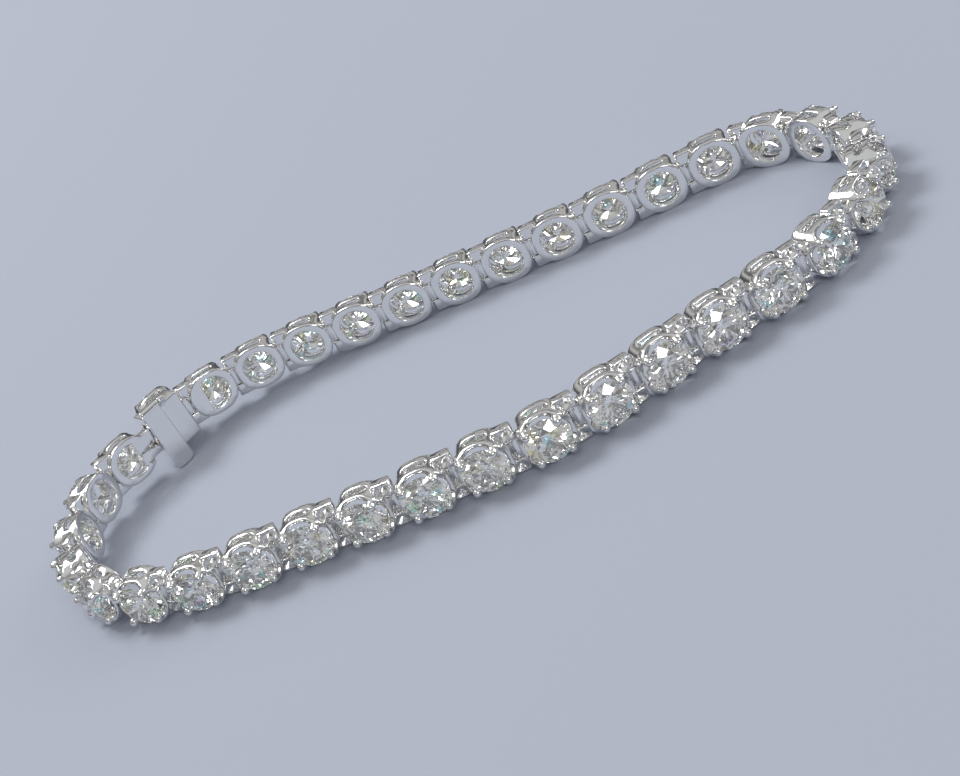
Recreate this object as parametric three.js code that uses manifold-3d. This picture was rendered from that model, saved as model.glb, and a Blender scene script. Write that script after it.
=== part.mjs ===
// A tennis bracelet: four-prong settings with round brilliants, hinged in one line and closed by a box clasp
// with a raised stone and a fold-over safety latch. The closed loop lies on its side edge, stones facing outward.
// Millimetres, +Z up; X is the long axis of the loop.
import * as THREE from "three";
import { mergeVertices } from "three/addons/utils/BufferGeometryUtils.js";
import Module from "manifold-3d";

const wasm = await Module();
wasm.setup();

// ---- driving sizes -------------------------------------------------------------------------------------
const PITCH = 5.08; // hinge to hinge of one link: 35 links make a 7 inch bracelet
const SIDES = 12; // facets round a setting, a flat one under, over and at each side
const CUP_R = 2.2; // corner radius of the setting
const BACK = -0.9; // depths are measured outward from the hinge line
const RIM = 1.0; // scalloped rim between two prongs
const SHOULDER = 1.95; // outer edge of a prong's tip
const TIP = 2.3; // inner edge of a prong's tip
const TIP_R = 1.72;
const HOLE_R = 1.57; // open back under the stone
const STONE_R = 1.875; // 3.75 mm round brilliant
const CULET = -0.05;
const GIRDLE = [1.56, 1.66];
const TABLE = { r: 1.03, depth: 2.2 };
const FORK = { low: 0.95, high: 1.95, half: 0.45, from: 1.52 }; // the two ears on a link's leading side
const TONGUE = { high: 0.8, half: 0.33, from: -1.95 }; // the eye on its trailing side
const PIN_R = 0.11;
const EYE_R = 0.2;
const PEENED_R = 0.27; // pin of a joint inside a pair, one solid with the eye
const FLAT = CUP_R * Math.cos(Math.PI / SIDES); // half height of a setting

// The clasp box, in the frame of link 31: x along the bracelet, depth outward, z across.
const BOX = { x0: -1.97, x1: 2.1, inner: -0.9, outer: 1.2, z: 2.35 };
const SLOT = { x0: -1.3, depth0: -0.35, depth1: 0.55, z: 1.5 };
const HEAD = { x: -1.1, lift: 2.4 }; // the stone's setting stands on the box's outer face
const BLADE = { x0: -0.9, thick: 0.5, z: 1.2 }; // tongue plate of link 32 inside the box
const LATCH = { x0: 0.2, x1: 2.2, face: -1.02, thick: 0.42, foot: -3.6, barrel: 0.34, axis: { depth: -1.16, z: 2.82 } };
const LUG = { x0: -0.6, x1: 0.06, low: 2.2, pin: 0.12, bore: 0.2, pinEnd: 1.3 }; // carries the latch's barrel

// One row a link, in order round the loop: its heading in degrees and how far its first hinge is lifted,
// because the latch's foot props the clasp up off the surface that the bracelet lies on.
const LINKS = [
  // number, heading, lift
  [32, -151.3, 1.5],
  [33, -124.2, 1.5],
  [34, -102.8, 1.15],
  [35, -81.0, 0.8],
  [1, -57.6, 0.45],
  [2, -35.8, 0.2],
  [3, -21.8, 0.05],
  [4, -15.9, 0],
  [5, -16.5, 0],
  [6, -20.6, 0],
  [7, -13.0, 0],
  [8, -15.9, 0],
  [9, -7.4, 0],
  [10, 4.0, 0],
  [11, 7.1, 0],
  [12, 2.8, 0],
  [13, 4.7, 0],
  [14, 22.1, 0],
  [15, 40.2, 0],
  [16, 64.2, 0],
  [17, 89.7, 0],
  [18, 113.5, 0],
  [19, 138.4, 0],
  [20, 165.4, 0],
  [21, 168.1, 0],
  [22, 165.5, 0],
  [23, 162.8, 0],
  [24, 162.2, 0],
  [25, 163.1, 0],
  [26, 164.6, 0.05],
  [27, 163.4, 0.2],
  [28, 166.2, 0.45],
  [29, 176.0, 0.8],
  [30, 191.8, 1.15],
  [31, 208.7, 1.5],
];

// ---- small geometry helpers ----------------------------------------------------------------------------
const corner = (k) => ((k + 0.5) * 2 * Math.PI) / SIDES; // corners at 15, 45, 75 ... degrees
const isProng = (k) => k % 3 === 1; // 45, 135, 225 and 315 degrees
const place = (r, a, depth) => new THREE.Vector3(r * Math.cos(a), -depth, r * Math.sin(a));

function solid(geometry, matrix) {
  let g = geometry.index ? geometry.toNonIndexed() : geometry.clone();
  g.deleteAttribute("normal");
  g.deleteAttribute("uv");
  if (matrix) g.applyMatrix4(matrix);
  g = mergeVertices(g, 1e-5);
  const made = new wasm.Manifold(
    new wasm.Mesh({
      numProp: 3,
      vertProperties: new Float32Array(g.attributes.position.array),
      triVerts: new Uint32Array(g.index.array),
    }),
  );
  if (made.volume() < 0) throw new Error("a piece is inside out");
  return made;
}

function geometryOf(manifold) {
  const m = manifold.getMesh();
  const p = new Float32Array((m.vertProperties.length / m.numProp) * 3);
  for (let i = 0; i < p.length / 3; i++)
    for (let j = 0; j < 3; j++) p[3 * i + j] = m.vertProperties[i * m.numProp + j];
  const g = new THREE.BufferGeometry();
  g.setAttribute("position", new THREE.BufferAttribute(p, 3));
  g.setIndex(new THREE.BufferAttribute(new Uint32Array(m.triVerts), 1));
  g.computeVertexNormals();
  return g;
}

function block(x0, x1, d0, d1, z0, z1) {
  const g = new THREE.BoxGeometry(x1 - x0, d1 - d0, z1 - z0);
  g.translate((x0 + x1) / 2, -(d0 + d1) / 2, (z0 + z1) / 2);
  return solid(g);
}

// A prism along z (pins, eyes, knuckles), or along x when lying.
function rod(r, sides, x, depth, a0, a1, lying = false) {
  const g = new THREE.CylinderGeometry(r, r, a1 - a0, sides);
  g.rotateX(Math.PI / 2);
  g.translate(0, 0, (a0 + a1) / 2);
  if (lying) g.rotateY(Math.PI / 2);
  if (lying) g.translate(0, -depth, x);
  else g.translate(x, -depth, 0);
  return solid(g);
}

// The cup with its scalloped rim and four claws: rings of SIDES points, closed into a tube.
function crown() {
  const rings = [
    (k) => place(CUP_R, corner(k), BACK),
    (k) => place(CUP_R, corner(k), isProng(k) ? SHOULDER : RIM),
    (k) => (isProng(k) ? place(TIP_R, corner(k), TIP) : place(2.08, corner(k), RIM)),
    (k) => (isProng(k) ? place(1.96, corner(k), 1.78) : place(1.96, corner(k), RIM - 0.15)),
    (k) => place(HOLE_R, corner(k), BACK),
  ];
  const pts = [];
  const add = (a, b, c) => pts.push(a, c, b);
  rings.forEach((ring, i) => {
    const next = rings[(i + 1) % rings.length];
    for (let k = 0; k < SIDES; k++) {
      const k1 = (k + 1) % SIDES;
      const [a, b, c, d] = [ring(k), ring(k1), next(k1), next(k)];
      if (isProng(k)) {
        // split each quad from the plain corner to the claw's far ring, so the claw stays hollow inside
        add(a, d, b);
        add(b, d, c);
      } else {
        add(a, c, b);
        add(a, d, c);
      }
    }
  });
  const g = new THREE.BufferGeometry().setFromPoints(pts);
  return solid(g);
}

function stone() {
  const profile = [
    [0, CULET],
    [STONE_R, GIRDLE[0]],
    [STONE_R, GIRDLE[1]],
    [TABLE.r, TABLE.depth],
    [0, TABLE.depth],
  ].map(([r, y]) => new THREE.Vector2(r, y));
  const g = new THREE.LatheGeometry(profile, SIDES);
  g.rotateY(Math.PI / SIDES);
  g.rotateX(Math.PI); // the table faces outward, to -Y
  return solid(g);
}

// Ears with their pin, on the leading side; the hinge line is at x = half the pitch.
function fork(half, pinR) {
  let s = null;
  for (const side of [1, -1]) {
    const [z0, z1] = side > 0 ? [FORK.low, FORK.high] : [-FORK.high, -FORK.low];
    const ear = block(FORK.from, half, -FORK.half, FORK.half, z0, z1).add(
      rod(FORK.half / Math.cos(Math.PI / 8), 8, half, 0, z0, z1),
    );
    s = s ? s.add(ear) : ear;
  }
  return s.add(rod(pinR, 6, half, 0, -FORK.low - 0.3, FORK.low + 0.3));
}

function tongue(half, from) {
  return block(-half, from, -TONGUE.half, TONGUE.half, -TONGUE.high, TONGUE.high)
    .add(rod(TONGUE.half / Math.cos(Math.PI / 8), 8, -half, 0, -TONGUE.high, TONGUE.high))
    .subtract(rod(EYE_R, 6, -half, 0, -TONGUE.high - 1, TONGUE.high + 1));
}

// ---- the loop --------------------------------------------------------------------------------------------
const joints = [new THREE.Vector3()];
LINKS.forEach(([, heading], i) => {
  const a = THREE.MathUtils.degToRad(heading);
  joints.push(joints[i].clone().add(new THREE.Vector3(Math.cos(a), Math.sin(a), 0).multiplyScalar(PITCH)));
});
const miss = joints[LINKS.length].clone().sub(joints[0]); // a few hundredths, spread over the links
joints.forEach((p, i) => p.addScaledVector(miss, -i / LINKS.length));

const links = new Map();
LINKS.forEach(([number, , lift], i) => {
  const nextLift = LINKS[(i + 1) % LINKS.length][2];
  const a = joints[i].clone().setZ(lift + FLAT);
  const b = joints[i + 1].clone().setZ(nextLift + FLAT);
  const along = b.clone().sub(a);
  const half = along.length() / 2;
  along.normalize();
  const inward = new THREE.Vector3(-along.y, along.x, 0).normalize();
  const up = along.clone().cross(inward);
  const m = new THREE.Matrix4().makeBasis(along, inward, up).setPosition(a.add(b).multiplyScalar(0.5));
  links.set(number, { m, half });
});
const at = (number, s) => {
  const e = links.get(number).m.elements;
  return s.transform([...e]);
};

// ---- pieces ----------------------------------------------------------------------------------------------
const CROWN = crown();
const STONE = stone();
const setting = (number, pinR) => {
  const { half } = links.get(number);
  return CROWN.add(fork(half, pinR)).add(tongue(half, TONGUE.from));
};

const METAL = { color: 0xe8e8e6, roughness: 0.16, metalness: 1.0 };
const group = new THREE.Group();
const meshes = [];
function part(name, manifold, look) {
  const mesh = new THREE.Mesh(geometryOf(manifold), new THREE.MeshStandardMaterial(look));
  mesh.name = name;
  meshes.push(mesh);
  group.add(mesh);
}
const two = (n) => String(n).padStart(2, "0");

// Settings in hinged pairs, 33 and 34 first and 28 and 29 last.
const paired = LINKS.map((row) => row[0]).filter((n) => ![30, 31, 32].includes(n));
for (let i = 0; i < paired.length; i += 2) {
  const [a, b] = [paired[i], paired[i + 1]];
  part(
    `setting_pair_${two(a)}_${two(b)}`,
    at(a, setting(a, PEENED_R)).add(at(b, setting(b, PIN_R))),
    METAL,
  );
}
part("setting_30", at(30, setting(30, PIN_R)), METAL);

// Clasp box: eye, hollow box open to the tongue's side, and the raised setting soldered on its outer face.
{
  const { half } = links.get(31);
  let box = block(BOX.x0, BOX.x1, BOX.inner, BOX.outer, -BOX.z, BOX.z)
    .subtract(block(SLOT.x0, BOX.x1 + 1, SLOT.depth0, SLOT.depth1, -SLOT.z, SLOT.z))
    .add(CROWN.translate([HEAD.x, -HEAD.lift, 0]))
    .add(block(BOX.x0, HEAD.x + 1.5, BOX.outer - 0.2, BOX.outer + 0.45, -1.2, 1.2));
  box = box.add(tongue(half, BOX.x0 + 0.1));
  const { axis, barrel } = LATCH;
  box = box
    .add(rod(barrel, 10, axis.z, axis.depth, LUG.x0, LUG.x1, true))
    .add(block(LUG.x0, LUG.x1, axis.depth, BOX.inner + 0.3, LUG.low, axis.z))
    .add(rod(LUG.pin, 6, axis.z, axis.depth, LUG.x0 + 0.2, LUG.pinEnd, true));
  part("clasp_box", at(31, box), METAL);
}

// Tongue link: a setting whose trailing side carries the flat tongue with a V notch instead of an eye.
{
  const { half } = links.get(32);
  const box = links.get(31).half;
  const x0 = -half - box + BLADE.x0; // the blade's tip, box frame carried over the mouth
  const mid = (SLOT.depth0 + SLOT.depth1) / 2;
  let blade = block(x0, TONGUE.from, mid - BLADE.thick / 2, mid + BLADE.thick / 2, -BLADE.z, BLADE.z);
  const notch = new THREE.Shape([
    new THREE.Vector2(-2.35, 0.06),
    new THREE.Vector2(-2.35, -0.06),
    new THREE.Vector2(x0 - 1, -0.16),
    new THREE.Vector2(x0 - 1, 0.16),
  ]);
  const wedge = new THREE.ExtrudeGeometry(notch, { depth: 3, bevelEnabled: false });
  wedge.translate(0, 0, -1.5);
  wedge.rotateX(Math.PI / 2);
  blade = blade.subtract(solid(wedge));
  part("tongue_link", at(32, CROWN.add(fork(half, PIN_R)).add(blade)), METAL);
}

// Safety latch: a flat bar over the box's inner face, turning on a barrel along its top edge; its foot is the
// finger tab that the clasp stands on.
{
  const bar = block(LATCH.x0, LATCH.x1, LATCH.face - LATCH.thick, LATCH.face, LATCH.foot, LATCH.axis.z).add(
    rod(LATCH.barrel, 10, LATCH.axis.z, LATCH.axis.depth, LATCH.x0, LATCH.x1, true),
  ).subtract(rod(LUG.bore, 6, LATCH.axis.z, LATCH.axis.depth, LUG.x0, LUG.pinEnd + 0.2, true));
  part("safety_latch", at(31, bar), METAL);
}

for (const [number] of LINKS) {
  const s = number === 31 ? STONE.translate([HEAD.x, -HEAD.lift, 0]) : STONE;
  part(`stone_${two(number)}`, at(number, s), { color: 0xdfe0da, roughness: 0.02, metalness: 0.0 });
}

// Origin: the middle of the underside of the whole.
const box3 = new THREE.Box3();
for (const mesh of meshes) box3.expandByObject(mesh);
const centre = box3.getCenter(new THREE.Vector3());
for (const mesh of meshes) mesh.geometry.translate(-centre.x, -centre.y, -box3.min.z);

export default group;
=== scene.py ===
import math
import random

import bpy
import numpy as np
from mathutils import Matrix, Vector


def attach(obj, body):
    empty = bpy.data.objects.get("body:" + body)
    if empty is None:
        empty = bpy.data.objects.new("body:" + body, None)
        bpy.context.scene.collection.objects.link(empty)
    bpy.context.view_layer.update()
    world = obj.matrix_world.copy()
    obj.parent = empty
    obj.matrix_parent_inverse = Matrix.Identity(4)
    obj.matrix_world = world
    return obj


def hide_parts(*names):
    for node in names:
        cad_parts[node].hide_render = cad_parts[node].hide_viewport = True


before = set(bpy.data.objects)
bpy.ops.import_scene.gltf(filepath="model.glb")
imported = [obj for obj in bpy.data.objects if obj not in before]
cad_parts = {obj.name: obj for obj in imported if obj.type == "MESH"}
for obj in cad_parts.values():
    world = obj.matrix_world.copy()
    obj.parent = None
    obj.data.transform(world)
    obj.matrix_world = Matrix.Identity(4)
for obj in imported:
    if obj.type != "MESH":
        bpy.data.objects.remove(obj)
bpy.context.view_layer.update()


MM = 0.001

# ---- the loop: the same table as the CAD ---------------------------------------------------------------------
PITCH = 5.08
FLAT = 2.2 * math.cos(math.pi / 12)
SHIFT = (-28.076513290405273, 14.653587102890015)
LINKS = [  # number, heading in degrees, lift of the first hinge in mm
    (32, -151.3, 1.5), (33, -124.2, 1.5), (34, -102.8, 1.15), (35, -81.0, 0.8), (1, -57.6, 0.45), (2, -35.8, 0.2),
    (3, -21.8, 0.05), (4, -15.9, 0), (5, -16.5, 0), (6, -20.6, 0), (7, -13.0, 0), (8, -15.9, 0), (9, -7.4, 0),
    (10, 4.0, 0), (11, 7.1, 0), (12, 2.8, 0), (13, 4.7, 0), (14, 22.1, 0), (15, 40.2, 0), (16, 64.2, 0),
    (17, 89.7, 0), (18, 113.5, 0), (19, 138.4, 0), (20, 165.4, 0), (21, 168.1, 0), (22, 165.5, 0), (23, 162.8, 0),
    (24, 162.2, 0), (25, 163.1, 0), (26, 164.6, 0.05), (27, 163.4, 0.2), (28, 166.2, 0.45), (29, 176.0, 0.8),
    (30, 191.8, 1.15), (31, 208.7, 1.5),
]
N = len(LINKS)
hinges = [np.zeros(2)]
for _, heading, _ in LINKS:
    a = math.radians(heading)
    hinges.append(hinges[-1] + PITCH * np.array([math.cos(a), math.sin(a)]))
miss = hinges[-1] - hinges[0]
hinges = [p - miss * i / N + np.array(SHIFT) for i, p in enumerate(hinges)]
PLACE = {}
for i, (number, _, lift) in enumerate(LINKS):
    nxt = LINKS[(i + 1) % N][2]
    a = np.array([*hinges[i], lift + FLAT])
    b = np.array([*hinges[i + 1], nxt + FLAT])
    t = (b - a) / np.linalg.norm(b - a)
    inward = np.array([-t[1], t[0], 0.0])
    inward /= np.linalg.norm(inward)
    PLACE[number] = (np.stack([t, inward, np.cross(t, inward)], 1), (a + b) / 2)

# ---- distance functions, in a link's frame: x along, d outward, z across (mm) -----------------------------------


def smin(a, b, k):
    h = np.clip(0.5 + 0.5 * (b - a) / k, 0, 1)
    return b + (a - b) * h - k * h * (1 - h)


def smax(a, b, k):
    return -smin(-a, -b, k)


def rbox(x, d, z, c, half, r):
    q = [np.abs(v - cc) - (hh - r) for v, cc, hh in zip((x, d, z), c, half)]
    out = np.sqrt(sum(np.maximum(v, 0) ** 2 for v in q))
    return out + np.minimum(np.maximum(q[0], np.maximum(q[1], q[2])), 0) - r


def capsule(x, d, z, a, b, ra, rb):
    a, b = np.array(a, float), np.array(b, float)
    ab = b - a
    h = np.clip(((x - a[0]) * ab[0] + (d - a[1]) * ab[1] + (z - a[2]) * ab[2]) / (ab @ ab), 0, 1)
    px, pd, pz = x - a[0] - ab[0] * h, d - a[1] - ab[1] * h, z - a[2] - ab[2] * h
    return np.sqrt(px**2 + pd**2 + pz**2) - (ra + (rb - ra) * h)


def rod_z(x, d, z, cx, cd, z0, z1, r, e=0.05):
    q = np.sqrt((x - cx) ** 2 + (d - cd) ** 2) - r
    w = np.abs(z - (z0 + z1) / 2) - (z1 - z0) / 2
    return smax(q, w, e)


def squircle(x, z, a, b, p):
    return ((np.abs(x / a) ** p + np.abs(z / b) ** p) ** (1 / p) - 1) * min(a, b)


def cup(x, d, z, window=True, foot=0.0):
    r = np.sqrt(x**2 + z**2) + 1e-9
    corner4 = np.abs(2 * x * z) / r**2  # 1 at the claws, 0 between them
    rim = 1.04 + 0.60 * corner4**5
    waist = 0.03 * np.exp(-(((d - 0.3) / 0.45) ** 2))
    up = np.clip((d + 0.9) / 1.5, 0, 1)
    outer = squircle(x, z, 2.22, 2.12, 2.5) + waist * (1 - corner4) + foot * (1 - up)
    inner = 1.54 + 0.26 * np.clip((d + 0.5) / 1.4, 0, 1)
    f = smax(outer, inner - foot * (1 - up) - r, 0.09)
    f = smax(f, np.maximum(-0.9 - d, d - rim), 0.14)
    if window:
        wx = np.maximum(np.abs(x) - 0.74, 0)
        slot = np.sqrt(wx**2 + (d - 0.12) ** 2) - 0.33
        f = smax(f, -slot, 0.07)
    for sx in (1, -1):
        for sz in (1, -1):
            c = 0.7071
            b0 = 1.88 - foot
            base = capsule(x, d, z, (sx * b0 * c, -0.45, sz * b0 * c), (sx * 1.95 * c, 1.2, sz * 1.95 * c), 0.40, 0.33)
            claw = capsule(x, d, z, (sx * 1.97 * c, 0.9, sz * 1.97 * c), (sx * 1.84 * c, 1.92, sz * 1.84 * c), 0.36, 0.355)
            f = smin(f, smin(base, claw, 0.14), 0.18)
    return f


def ears(x, d, z):
    f = None
    for s in (1, -1):
        block = rbox(x, d, z, (2.22, 0.05, s * 1.50), (0.80, 0.50, 0.55), 0.10)
        # bright cut: a faceted hollow with a drilled seat on the outward face
        u, v = x - 2.28, z - s * 1.52
        q = np.maximum(np.maximum(np.abs(u + 0.3 * v) / 0.66, np.abs(v - 0.2 * u) / 0.46), (np.abs(u) + np.abs(v)) / 0.80)
        ear = np.maximum(block, (d - 0.55 + 0.55 * np.clip(1 - q, 0, 1)) * 0.7)
        ear = smax(ear, -(np.sqrt((x - 2.56) ** 2 + (z - s * 1.66) ** 2 + 0.3 * (d - 0.5) ** 2) - 0.14), 0.02)
        ear = np.maximum(ear, np.where((x > 2.54) & (d < 0), np.sqrt((x - 2.54) ** 2 + d**2) - 0.5, -1))
        f = ear if f is None else np.minimum(f, ear)
    pin = rod_z(x, d, z, 2.54, 0, -1.0, 1.0, 0.12)
    return np.minimum(f, pin)


def eye(x, d, z):
    bar = rbox(x, d, z, (-2.26, 0.06, 0), (0.36, 0.38, 0.86), 0.08)
    knob = rod_z(x, d, z, -2.54, 0, -0.86, 0.86, 0.36, 0.08)
    f = smin(bar, knob, 0.05)
    return smax(f, 0.16 - np.sqrt((x + 2.54) ** 2 + d**2), 0.03)


def link(x, d, z):
    return smin(smin(cup(x, d, z), ears(x, d, z), 0.10), eye(x, d, z), 0.10)


def link_30(x, d, z):  # the open back is cut straight by a plate beside the clasp
    plate = np.maximum(rbox(x, d, z, (1.5, -0.68, 0), (0.75, 0.21, 1.6), 0.05), np.sqrt(x**2 + z**2) - 1.8)
    return smin(link(x, d, z), plate, 0.06)


def clasp_box(x, d, z):
    f = rbox(x, d, z, (0.06, 0.15, 0), (2.03, 1.05, 2.35), 0.20)
    f = smax(f, -rbox(x, d, z, (0.9, 0.1, 0), (2.2, 0.45, 1.5), 0.08), 0.05)
    head = cup(x + 1.1, d - 2.31, z, foot=0.62)
    stem = smax(np.sqrt((x + 0.9) ** 2 + z**2) - 1.25, np.maximum(0.9 - d, d - 1.75), 0.1)
    f = smin(f, smin(head, stem, 0.12), 0.10)
    f = smin(f, eye(x, d, z), 0.10)
    lug = np.sqrt((d + 1.16) ** 2 + (z - 2.82) ** 2) - 0.32
    lug = smax(lug, np.abs(x + 0.27) - 0.33, 0.08)
    foot = rbox(x, d, z, (-0.27, -0.88, 2.5), (0.32, 0.26, 0.32), 0.06)
    f = smin(f, np.minimum(lug, foot), 0.08)
    pin = smax(np.sqrt((d + 1.16) ** 2 + (z - 2.82) ** 2) - 0.12, np.abs(x - 0.45) - 0.85, 0.03)
    return np.minimum(f, pin)


def tongue_link(x, d, z):
    f = smin(cup(x, d, z), ears(x, d, z), 0.10)
    blade = rbox(x, d, z, (-3.55, -0.1 + 0.2, 0), (2.43, 0.25, 1.2), 0.08)
    # flat tongue across the open back, with its V notch
    pad = rbox(x, d, z, (-1.85, -0.62, 0), (1.10, 0.24, 1.35), 0.08)
    wedge = np.abs(z + 0.1) - (0.02 + 0.22 * np.clip((-x - 0.9) / 1.3, 0, 2))
    pad = smax(pad, -wedge, 0.04)
    step = rbox(x, d, z, (-2.35, -0.25, 0), (0.3, 0.45, 1.2), 0.06)
    f = smin(smin(f, blade, 0.08), np.minimum(pad, step), 0.08)
    # the notch and the slit under the tongue go through the ring as well
    notch = np.maximum(wedge, np.maximum(d + 0.28, x + 0.9))
    slit = rbox(x, d, z, (-2.0, -0.75, -1.30), (0.85, 0.35, 0.09), 0.04)
    return smax(smax(f, -notch, 0.03), -slit, 0.03)


def latch(x, d, z):
    bar = rbox(x, d, z, (1.2, -1.23, -0.39), (1.0, 0.21, 3.21), 0.10)
    round_end = np.where(z < -2.9, np.sqrt((np.maximum(np.abs(x - 1.2) - 0.35, 0)) ** 2 + (z + 2.9) ** 2) - 0.68, -1)
    bar = smax(bar, round_end, 0.10)
    barrel = smax(np.sqrt((d + 1.16) ** 2 + (z - 2.82) ** 2) - 0.32, np.abs(x - 1.2) - 1.0, 0.08)
    f = smin(bar, barrel, 0.12)
    bore = smax(np.sqrt((d + 1.16) ** 2 + (z - 2.82) ** 2) - 0.2, np.abs(x - 0.45) - 1.05, 0.03)
    return smax(f, -bore, 0.02)


def surface(fn, lo, hi, h):
    """Surface nets of fn = 0 in a box, its points then moved onto the true surface."""
    ax = [np.arange(a - 2 * h, b + 3 * h, h) for a, b in zip(lo, hi)]
    X, D, Z = np.meshgrid(*ax, indexing="ij")
    f = fn(X, D, Z)
    s = f < 0
    nx, ny, nz = f.shape
    c = [s[i : nx - 1 + i, j : ny - 1 + j, k : nz - 1 + k] for i in (0, 1) for j in (0, 1) for k in (0, 1)]
    tot = sum(v.astype(int) for v in c)
    mixed = (tot > 0) & (tot < 8)
    index = -np.ones(mixed.shape, int)
    cells = np.argwhere(mixed)
    index[mixed] = np.arange(len(cells))
    acc = np.zeros((len(cells), 3))
    cnt = np.zeros(len(cells))
    off = [(i, j, k) for i in (0, 1) for j in (0, 1) for k in (0, 1)]
    for ia, a in enumerate(off):
        for b in off[ia + 1 :]:
            if sum(abs(p - q) for p, q in zip(a, b)) != 1:
                continue
            fa = f[cells[:, 0] + a[0], cells[:, 1] + a[1], cells[:, 2] + a[2]]
            fb = f[cells[:, 0] + b[0], cells[:, 1] + b[1], cells[:, 2] + b[2]]
            m = (fa < 0) != (fb < 0)
            w = np.where(m, fa / np.where(m, fa - fb, 1), 0)
            p = np.array(a) + w[:, None] * (np.array(b) - np.array(a))
            acc[m] += p[m]
            cnt[m] += 1
    v = (cells + acc / cnt[:, None]) * h + np.array([a[0] for a in ax])
    quads = []
    for axis in range(3):
        o1, o2 = [k for k in range(3) if k != axis]
        sl_a = [slice(1, -1)] * 3
        sl_b = [slice(1, -1)] * 3
        sl_a[axis] = slice(0, -1)
        sl_b[axis] = slice(1, None)
        sa, sb = s[tuple(sl_a)], s[tuple(sl_b)]
        cross = np.argwhere(sa != sb)
        base = cross + 1
        base[:, axis] -= 1
        flip = sa[tuple(cross.T)]
        e1, e2 = np.zeros(3, int), np.zeros(3, int)
        e1[o1], e2[o2] = 1, 1
        q = np.stack([index[tuple((base - d_).T)] for d_ in (e1 * 0, e1, e1 + e2, e2)], 1)
        if axis == 1:
            flip = ~flip
        q[~flip] = q[~flip][:, ::-1]
        quads.append(q)
    quads = np.concatenate(quads)
    quads = quads[(quads >= 0).all(1)]
    e = 1e-3
    for _ in range(3):
        f0 = fn(*v.T)
        g = np.stack([fn(v[:, 0] + e, v[:, 1], v[:, 2]), fn(v[:, 0], v[:, 1] + e, v[:, 2]), fn(v[:, 0], v[:, 1], v[:, 2] + e)], 1)
        g = (g - f0[:, None]) / e
        n2 = np.maximum((g**2).sum(1), 0.25)
        step = np.clip(-f0 / n2, -h * 0.5, h * 0.5)[:, None] * g
        v = v + step
    return v, quads


def mesh_from(name, v, faces):
    me = bpy.data.meshes.new(name)
    me.from_pydata([tuple(p) for p in v], [], [tuple(int(i) for i in f) for f in faces])
    me.update()
    return me


def thin(name, v, quads, ratio):
    """The same surface with fewer triangles where it is flat. The local frame (x, d, z) turns into x, -d, z."""
    w = np.stack([v[:, 0], -v[:, 1], v[:, 2]], 1)
    me = mesh_from(name, w, quads[:, ::-1])
    ob = bpy.data.objects.new(name, me)
    bpy.context.scene.collection.objects.link(ob)
    mod = ob.modifiers.new("thin", "DECIMATE")
    mod.ratio = ratio
    dg = bpy.context.evaluated_depsgraph_get()
    ev = ob.evaluated_get(dg)
    out = ev.to_mesh()
    n = len(out.vertices)
    co = np.empty(n * 3)
    out.vertices.foreach_get("co", co)
    polys = [tuple(p.vertices) for p in out.polygons]
    ev.to_mesh_clear()
    bpy.data.objects.remove(ob)
    bpy.data.meshes.remove(me)
    return co.reshape(-1, 3), polys


H = 0.075
R = 0.30
SHAPES = {}
for key, fn, lo, hi in (
    ("link", link, (-3.0, -1.0, -2.3), (3.0, 2.4, 2.3)),
    ("link_30", link_30, (-3.0, -1.0, -2.3), (3.0, 2.4, 2.3)),
    ("clasp_box", clasp_box, (-3.5, -1.6, -2.5), (2.2, 4.8, 3.3)),
    ("tongue_link", tongue_link, (-6.1, -1.0, -2.3), (3.0, 2.4, 2.3)),
    ("latch", latch, (0.1, -1.6, -3.7), (2.3, -0.7, 3.3)),
):
    SHAPES[key] = thin(key, *surface(fn, lo, hi, H), R)

# ---- materials ---------------------------------------------------------------------------------------------------


def new_material(name):
    m = bpy.data.materials.new(name)
    m.use_nodes = True
    return m, m.node_tree.nodes, m.node_tree.links, m.node_tree.nodes["Principled BSDF"]


gold, nodes, wires, bsdf = new_material("white_gold")
bsdf.inputs["Base Color"].default_value = (0.93, 0.925, 0.915, 1)
bsdf.inputs["Metallic"].default_value = 1.0
bsdf.inputs["Roughness"].default_value = 0.09
coord = nodes.new("ShaderNodeTexCoord")
noise = nodes.new("ShaderNodeTexNoise")
noise.inputs["Scale"].default_value = 900.0
noise.inputs["Detail"].default_value = 2.0
wires.new(coord.outputs["Object"], noise.inputs["Vector"])
ramp = nodes.new("ShaderNodeMapRange")
ramp.inputs["To Min"].default_value = 0.06
ramp.inputs["To Max"].default_value = 0.15
wires.new(noise.outputs["Fac"], ramp.inputs["Value"])
wires.new(ramp.outputs["Result"], bsdf.inputs["Roughness"])
bump = nodes.new("ShaderNodeBump")
bump.inputs["Strength"].default_value = 0.10
bump.inputs["Distance"].default_value = 0.00004
wires.new(noise.outputs["Fac"], bump.inputs["Height"])
wires.new(bump.outputs["Normal"], bsdf.inputs["Normal"])

diamond, nodes, wires, bsdf = new_material("brilliant")
bsdf.inputs["Base Color"].default_value = (0.97, 0.97, 0.95, 1)
bsdf.inputs["Metallic"].default_value = 0.0
bsdf.inputs["Roughness"].default_value = 0.0
bsdf.inputs["IOR"].default_value = 2.42
bsdf.inputs["Transmission Weight"].default_value = 1.0
coord = nodes.new("ShaderNodeTexCoord")
cells = nodes.new("ShaderNodeTexVoronoi")
cells.inputs["Scale"].default_value = 1300.0
wires.new(coord.outputs["Object"], cells.inputs["Vector"])
cell = nodes.new("ShaderNodeSeparateColor")
wires.new(cells.outputs["Color"], cell.inputs["Color"])
painted_fire_glints = nodes.new("ShaderNodeValToRGB")  # painted glints: a few cells tinted yellow, cyan, violet and green among the white ones stand in for the coloured fire of dispersion
painted_fire_glints.color_ramp.interpolation = "CONSTANT"
painted_fire_glints.color_ramp.elements[0].color = (0.98, 0.975, 0.95, 1)
painted_fire_glints.color_ramp.elements[1].position = 0.955
painted_fire_glints.color_ramp.elements[1].color = (0.98, 0.94, 0.55, 1)
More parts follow.
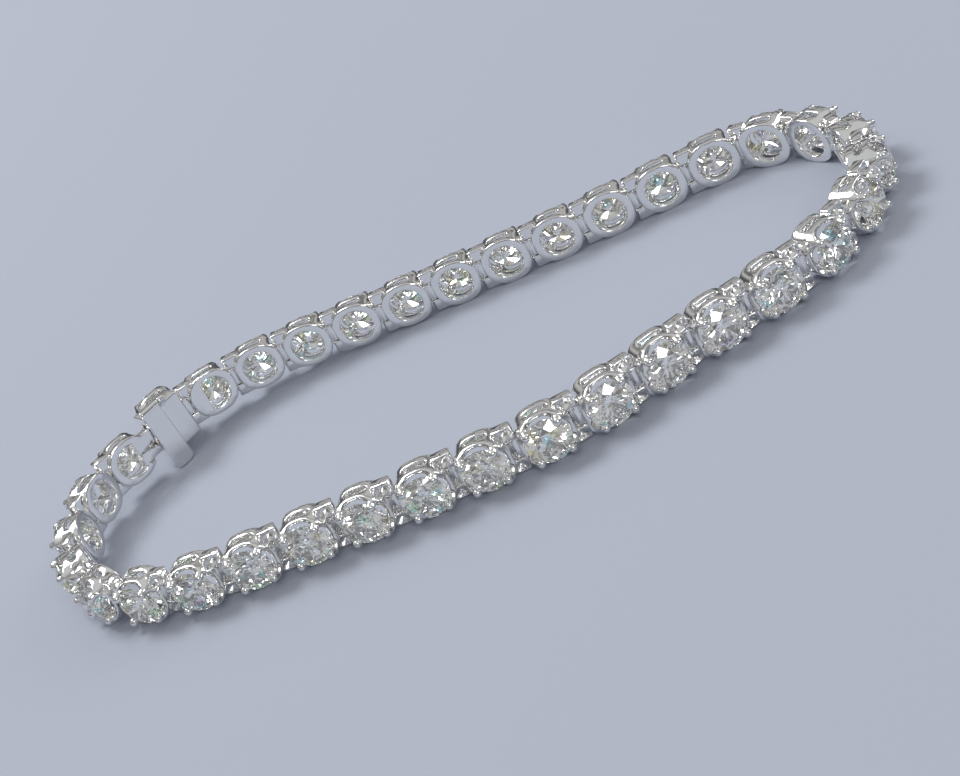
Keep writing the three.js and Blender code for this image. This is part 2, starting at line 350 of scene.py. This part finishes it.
for pos, col in ((0.87, (0.45, 0.93, 1.0, 1)), (0.905, (0.72, 0.66, 1.0, 1)), (0.93, (0.62, 1.0, 0.62, 1))):
    painted_fire_glints.color_ramp.elements.new(pos).color = col
wires.new(cell.outputs["Red"], painted_fire_glints.inputs["Fac"])
wires.new(painted_fire_glints.outputs["Color"], bsdf.inputs["Base Color"])
# painted light: a faint warm glow makes the stones look paler, as if lit
bsdf.inputs["Emission Color"].default_value = (1.0, 0.98, 0.93, 1)
bsdf.inputs["Emission Strength"].default_value = 0.012

# ---- the metal pieces --------------------------------------------------------------------------------------------


def place(number, v, shift=(0.0, 0.0, 0.0)):
    m, c = PLACE[number]
    return ((v + np.array(shift)) @ m.T + c) * MM


def add_piece(name, chunks, material, body, replaced, smooth=True):
    vs, fs, n = [], [], 0
    for v, f in chunks:
        vs.append(v)
        fs += [tuple(i + n for i in p) for p in f]
        n += len(v)
    me = mesh_from(name, np.concatenate(vs), fs)
    me.materials.append(material)
    me.polygons.foreach_set("use_smooth", [smooth] * len(me.polygons))
    ob = bpy.data.objects.new(name, me)
    bpy.context.scene.collection.objects.link(ob)
    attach(ob, body)
    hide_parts(*replaced)
    return ob


paired = [n for n, _, _ in LINKS if n not in (30, 31, 32)]
for i in range(0, len(paired), 2):
    a, b = paired[i], paired[i + 1]
    v, f = SHAPES["link"]
    add_piece(f"cast_settings_{a:02d}_{b:02d}", [(place(a, v), f), (place(b, v), f)], gold, "bracelet", [f"setting_pair_{a:02d}_{b:02d}"])
for number, key, body, node in (
    (30, "link_30", "bracelet", "setting_30"),
    (31, "clasp_box", "bracelet", "clasp_box"),
    (32, "tongue_link", "bracelet", "tongue_link"),
    (31, "latch", "latch", "safety_latch"),
):
    v, f = SHAPES[key]
    add_piece(f"cast_{node}", [(place(number, v), f)], gold, body, [node])

# ---- round brilliants --------------------------------------------------------------------------------------------


def brilliant(radius=1.875, girdle=1.58, thick=0.07, table=0.56, crown=34.5, pavilion=41.0):
    """57 facets and a girdle, table facing outward (-y); eight-fold."""
    tc, tp = math.tan(math.radians(crown)), math.tan(math.radians(pavilion))
    rt = radius * table
    c8 = math.cos(math.pi / 8)
    rs = rt * c8 + 0.5 * (radius - rt * c8)
    rl = radius * 0.24
    top, low = girdle + thick, girdle
    pts, faces = [], []

    def ring(r, height, phase):
        first = len(pts)
        for k in range(8):
            a = (k + phase) * math.pi / 4
            pts.append((r * math.cos(a), -height, r * math.sin(a)))
        return [first + k for k in range(8)]

    T = ring(rt, top + (radius - rt) * tc, 0)
    S = ring(rs, top + (radius - rs * c8) * tc, 0.5)
    G = ring(radius, top, 0)
    Hh = ring(radius, top, 0.5)
    G2 = ring(radius, low, 0)
    H2 = ring(radius, low, 0.5)
    L = ring(rl, low - (radius - rl * c8) * tp, 0.5)
    C = len(pts)
    pts.append((0, -(low - radius * tp), 0))
    faces.append(tuple(T))
    for k in range(8):
        j, m = (k + 1) % 8, (k - 1) % 8
        faces.append((T[k], S[k], T[j]))
        faces.append((T[k], S[m], G[k], S[k]))
        faces.append((S[k], G[k], Hh[k]))
        faces.append((S[k], Hh[k], G[j]))
        faces.append((G[k], G2[k], H2[k], Hh[k]))
        faces.append((Hh[k], H2[k], G2[j], G[j]))
        faces.append((G2[k], L[m], C, L[k]))
        faces.append((H2[k], G2[k], L[k]))
        faces.append((G2[j], H2[k], L[k]))
    return np.array(pts, float), faces


rng = random.Random(7)
gem_v, gem_f = brilliant()
# every facet out: turn those that face the middle
mid = gem_v.mean(0)
fixed = []
for f in gem_f:
    p = gem_v[list(f)]
    nrm = np.cross(p[1] - p[0], p[2] - p[1])
    fixed.append(tuple(f) if np.dot(nrm, p.mean(0) - mid) > 0 else tuple(reversed(f)))
gem_f = fixed
for number, _, _ in LINKS:
    a = rng.uniform(0, math.pi / 4)
    turn = np.array([[math.cos(a), 0, -math.sin(a)], [0, 1, 0], [math.sin(a), 0, math.cos(a)]])
    shift = (-1.1, -2.31, 0.0) if number == 31 else (0.0, 0.0, 0.0)
    add_piece(
        f"brilliant_{number:02d}", [(place(number, gem_v @ turn.T, shift), gem_f)], diamond, "bracelet",
        [f"stone_{number:02d}"], smooth=False,
    )

# ---- floor, light and camera -------------------------------------------------------------------------------------
floor_mat, nodes, wires, bsdf = new_material("pale_card")
bsdf.inputs["Base Color"].default_value = (0.465, 0.50, 0.595, 1)
bsdf.inputs["Roughness"].default_value = 0.75
me = bpy.data.meshes.new("floor")
s = 3.0
me.from_pydata([(-s, -s, 0), (s, -s, 0), (s, s, 0), (-s, s, 0)], [], [(0, 1, 2, 3)])
me.materials.append(floor_mat)
floor = bpy.data.objects.new("floor", me)
bpy.context.scene.collection.objects.link(floor)


def area(name, where, target, size, power, colour=(1, 1, 1), size_y=None):
    data = bpy.data.lights.new(name, "AREA")
    data.energy = power
    data.color = colour
    data.size = size
    if size_y:
        data.shape = "RECTANGLE"
        data.size_y = size_y
    ob = bpy.data.objects.new(name, data)
    ob.location = where
    ob.rotation_euler = (Vector(target) - Vector(where)).to_track_quat("-Z", "Y").to_euler()
    bpy.context.scene.collection.objects.link(ob)
    return ob


area("key", (-0.30, 0.46, 0.74), (0, 0, 0), 0.36, 4.2)
area("fill_front", (0.10, -0.40, 0.26), (0, 0, 0), 0.16, 0.32, size_y=0.10)
area("rim_right", (0.38, 0.12, 0.22), (0, 0, 0), 0.10, 0.25, size_y=0.22)

world = bpy.data.worlds.new("studio")
bpy.context.scene.world = world
world.use_nodes = True
wn, wl = world.node_tree.nodes, world.node_tree.links
bg = wn["Background"]
tex = wn.new("ShaderNodeTexCoord")
sep = wn.new("ShaderNodeSeparateXYZ")
wl.new(tex.outputs["Generated"], sep.inputs[0])
band = wn.new("ShaderNodeValToRGB")
band.color_ramp.elements[0].position = 0.0
band.color_ramp.elements[0].color = (0.10, 0.11, 0.13, 1)
band.color_ramp.elements[1].position = 1.0
band.color_ramp.elements[1].color = (0.95, 0.98, 1.0, 1)
for pos, col in ((0.20, (0.20, 0.20, 0.21, 1)), (0.40, (0.95, 0.94, 0.92, 1)), (0.50, (0.10, 0.10, 0.11, 1)), (0.60, (1.0, 1.0, 1.0, 1)), (0.70, (0.45, 0.45, 0.46, 1)), (0.78, (1.0, 1.0, 1.0, 1))):
    el = band.color_ramp.elements.new(pos)
    el.color = col
wl.new(sep.outputs["Z"], band.inputs[0])
wl.new(band.outputs[0], bg.inputs[0])
bg.inputs[1].default_value = 0.55

# The camera squarely before the loop's long side, 28 degrees above the surface, rolled by 31.5 degrees.
ELEV, DIST, ROLL, FOCAL_PX = math.radians(27.83), 141.68, math.radians(31.46), 1705.5
aim = Vector((0.2035, -3.1084, -0.137))
right = Vector((1, 0, 0))
up = Vector((0, math.sin(ELEV), math.cos(ELEV)))
back = Vector((0, -math.cos(ELEV), math.sin(ELEV)))
cx = right * math.cos(ROLL) - up * math.sin(ROLL)
cy = right * math.sin(ROLL) + up * math.cos(ROLL)
eye_at = (aim + back * DIST) * MM
m = Matrix((
    (cx.x, cy.x, back.x, eye_at.x),
    (cx.y, cy.y, back.y, eye_at.y),
    (cx.z, cy.z, back.z, eye_at.z),
    (0, 0, 0, 1),
))
cam_data = bpy.data.cameras.new("camera")
cam = bpy.data.objects.new("camera", cam_data)
bpy.context.scene.collection.objects.link(cam)
cam.matrix_world = m
cam_data.sensor_fit = "HORIZONTAL"
cam_data.sensor_width = 36.0
cam_data.lens = 36.0 * FOCAL_PX / 960.0
cam_data.clip_start = 0.001
cam_data.clip_end = 20.0
bpy.context.scene.camera = cam

bpy.context.scene.cycles.transparent_max_bounces = 8
bpy.context.scene.cycles.max_bounces = 14
bpy.context.scene.cycles.transmission_bounces = 12
bpy.context.scene.cycles.glossy_bounces = 8
bpy.context.scene.view_settings.view_transform = "Standard"
